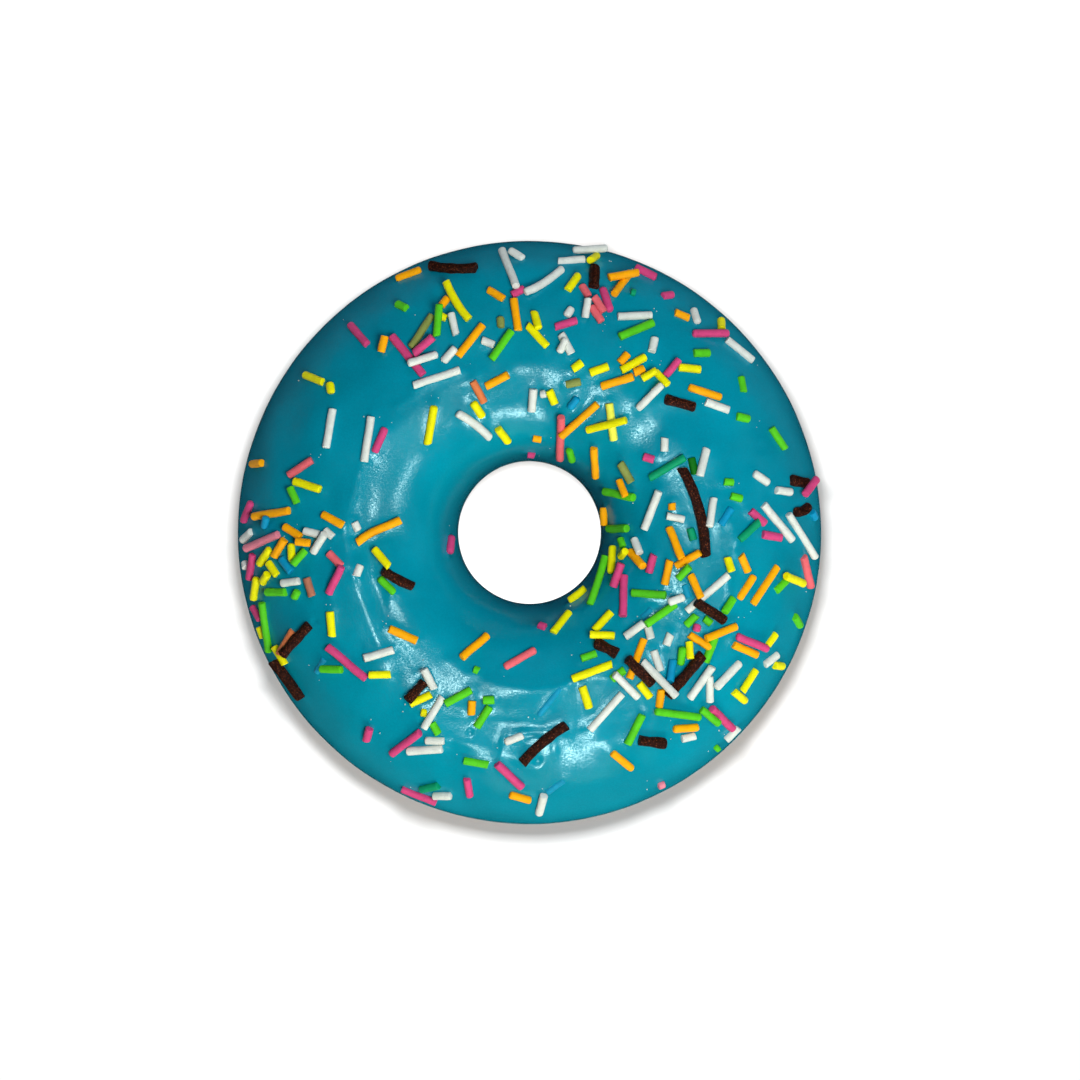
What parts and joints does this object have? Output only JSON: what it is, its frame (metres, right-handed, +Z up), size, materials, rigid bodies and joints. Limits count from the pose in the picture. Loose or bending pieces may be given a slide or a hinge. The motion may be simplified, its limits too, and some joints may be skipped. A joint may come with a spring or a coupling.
{
  "type": "iced ring doughnut",
  "caption": "Ring doughnut of fried dough with a round hole, a teal sugar icing over its upper half and mixed sugar and chocolate sprinkles.",
  "frame": {"origin": "on the ground, under the middle of the ring, on the axis of its hole", "axes": "+Z up, out of the iced side; +Y is the top of the picture and +X its right"},
  "size_m": [0.0898, 0.0898, 0.0332],
  "materials": {
    "dough": "golden brown fried crust, slightly oily, with a paler band round the waist",
    "icing": "smooth teal sugar icing, set to a satin gloss",
    "sugar_sprinkles": "matt sugar strands in white, yellow, orange, pink, green, blue and olive",
    "chocolate_sprinkles": "rough dark chocolate strands"
  },
  "bodies": {
    "root": {"dough": "dough", "icing": "icing"}
  },
  "joints": []
}
